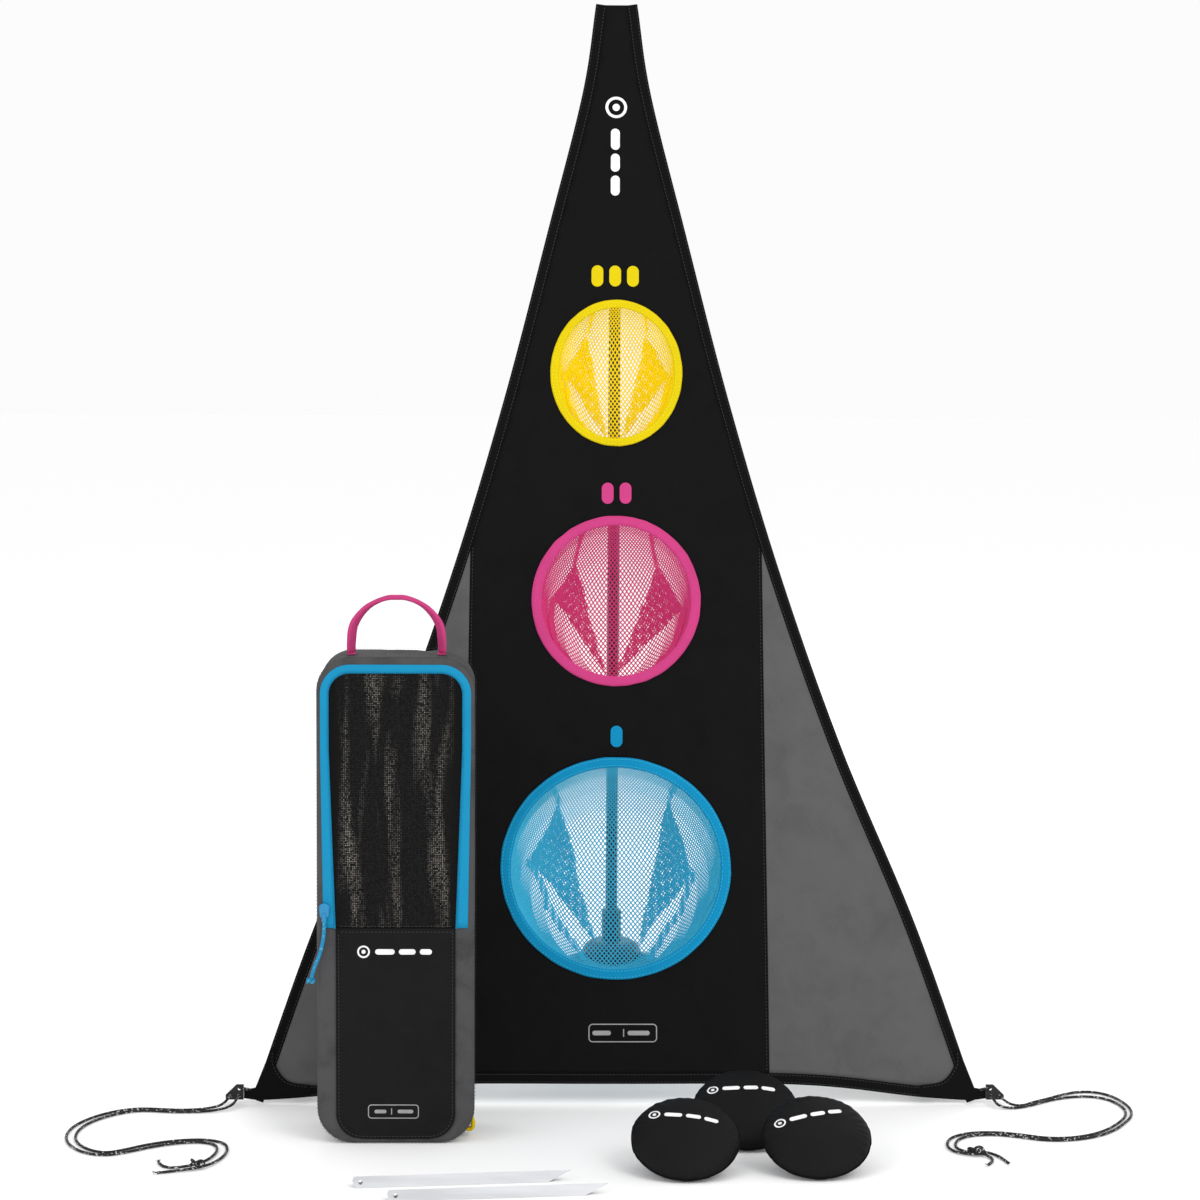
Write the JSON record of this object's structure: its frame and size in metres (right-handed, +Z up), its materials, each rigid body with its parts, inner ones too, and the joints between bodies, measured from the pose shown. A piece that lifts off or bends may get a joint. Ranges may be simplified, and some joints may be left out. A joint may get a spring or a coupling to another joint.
{
  "type": "pocket toss target set",
  "caption": "Folding fabric toss target on a tripod pole, with coloured net pockets, guylines, bean-filled throwing discs, zipped carry bag and ground stakes.",
  "frame": {"origin": "on the ground, under the middle of the whole set", "axes": "+Z up, -Y towards the players, +X to the right as the players see it"},
  "size_m": [1.185, 1.1081, 1.2442],
  "materials": {
    "moulding": "satin",
    "tube": "anodised",
    "ferrule": "satin",
    "foot": "matt",
    "elastic": "braided",
    "panel_black": "fine weave",
    "panel_grey": "fine weave",
    "tape": "ribbed tape",
    "yellow": "fine weave",
    "pink": "fine weave",
    "blue": "fine weave",
    "net_yellow": "open mesh",
    "net_pink": "open mesh",
    "net_blue": "open mesh",
    "adjuster": "satin",
    "cord": "braided",
    "bag_grey": "plain weave",
    "bag_black": "plain weave",
    "bag_mesh": "open mesh",
    "zip": "ribbed tape",
    "slider": "satin",
    "pull": "braided",
    "handle": "rolled webbing",
    "loop": "webbing",
    "disc_cover": "plain weave",
    "pellets": "round pellets",
    "stake": "satin"
  },
  "bodies": {
    "stand": {"hub": "moulding"},
    "leg_left_body": {"leg_left": "tube", "foot_left": "foot"},
    "leg_right_body": {"leg_right": "tube", "foot_right": "foot"},
    "leg_rear_body": {"leg_rear": "tube", "foot_rear": "foot"},
    "pole_lower_body": {"pole_lower": "tube", "ferrule_lower": "ferrule", "pole_cord_lower": "elastic"},
    "pole_middle_body": {"pole_middle": "tube", "ferrule_middle": "ferrule", "pole_cord_middle": "elastic"},
    "pole_upper_body": {"pole_upper": "tube", "pole_cord_upper": "elastic", "pole_tip": "moulding"},
    "sheet": {"centre_panel": "panel_black", "side_panel_left": "panel_grey", "side_panel_right": "panel_grey", "edge_left": "tape", "edge_right": "tape", "hem_binding": "tape", "rim_upper": "yellow", "rim_middle": "pink", "rim_lower": "blue", "net_upper": "net_yellow", "net_middle": "net_pink", "net_lower": "net_blue", "top_sleeve": "tape", "corner_strap_left": "tape", "corner_strap_right": "tape", "corner_patch_left": "tape", "corner_patch_right": "tape", "tensioner_left": "adjuster", "tensioner_right": "adjuster", "guyline_left_a": "cord", "guyline_left_b": "cord", "guyline_right_a": "cord", "guyline_right_b": "cord", "knot_left": "cord", "knot_right": "cord"},
    "bag": {"bag_shell": "bag_grey", "bag_front_panel": "bag_black", "bag_mesh_window": "bag_mesh", "bag_zip": "zip", "bag_loop": "loop"},
    "handle": {"bag_handle": "handle"},
    "slider": {"zip_slider": "slider", "zip_pull": "pull", "zip_knot": "pull"},
    "disc_left": {"disc_left_cover": "disc_cover", "disc_left_filling": "pellets"},
    "disc_right": {"disc_right_cover": "disc_cover", "disc_right_filling": "pellets"},
    "disc_back": {"disc_back_cover": "disc_cover", "disc_back_filling": "pellets"},
    "stake_front_body": {"stake_front": "stake"},
    "stake_back_body": {"stake_back": "stake"}
  },
  "joints": [
    {"name": "leg_left_slide", "type": "slide", "parent": "stand", "child": "leg_left_body", "axis": [-0.8599, -0.4407, -0.2577], "range_m": [0, 0.04], "stiffness_N_per_m": 150, "springref_m": -0.06},
    {"name": "leg_right_slide", "type": "slide", "parent": "stand", "child": "leg_right_body", "axis": [0.8599, -0.4407, -0.2577], "range_m": [0, 0.04], "stiffness_N_per_m": 150, "springref_m": -0.06},
    {"name": "leg_rear_slide", "type": "slide", "parent": "stand", "child": "leg_rear_body", "axis": [0, 0.9662, -0.2577], "range_m": [0, 0.04], "stiffness_N_per_m": 150, "springref_m": -0.06},
    {"name": "pole_lower_lift", "type": "slide", "parent": "stand", "child": "pole_lower_body", "axis": [0, 0, 1], "range_m": [0, 0.045]},
    {"name": "pole_middle_lift", "type": "slide", "parent": "pole_lower_body", "child": "pole_middle_body", "axis": [0, 0, 1], "range_m": [0, 0.045]},
    {"name": "pole_upper_lift", "type": "slide", "parent": "pole_middle_body", "child": "pole_upper_body", "axis": [0, 0, 1], "range_m": [0, 0.045]},
    {"name": "sheet_lift", "type": "slide", "parent": "pole_upper_body", "child": "sheet", "axis": [0, 0, 1], "range_m": [0, 0.06]},
    {"name": "bag_lift", "type": "slide", "parent": "stand", "child": "bag", "axis": [0, 0, 1], "range_m": [0, 0.2]},
    {"name": "bag_handle_hinge", "type": "hinge", "parent": "bag", "child": "handle", "pos_m": [-0.2425, -0.2838, 0.5384], "axis": [1, 0, 0], "range_deg": [-60, 60]},
    {"name": "zip_slider_slide", "type": "slide", "parent": "bag", "child": "slider", "axis": [-0.0155, 0, 0.9999], "range_m": [0, 0.19]},
    {"name": "disc_left_lift", "type": "slide", "parent": "stand", "child": "disc_left", "axis": [0, 0, 1], "range_m": [0, 0.15]},
    {"name": "disc_right_lift", "type": "slide", "parent": "stand", "child": "disc_right", "axis": [0, 0, 1], "range_m": [0, 0.15]},
    {"name": "disc_back_lift", "type": "slide", "parent": "stand", "child": "disc_back", "axis": [0, 0, 1], "range_m": [0, 0.15]},
    {"name": "stake_front_lift", "type": "slide", "parent": "stand", "child": "stake_front_body", "axis": [0, 0, 1], "range_m": [0, 0.1]},
    {"name": "stake_back_lift", "type": "slide", "parent": "stand", "child": "stake_back_body", "axis": [0, 0, 1], "range_m": [0, 0.1]}
  ]
}
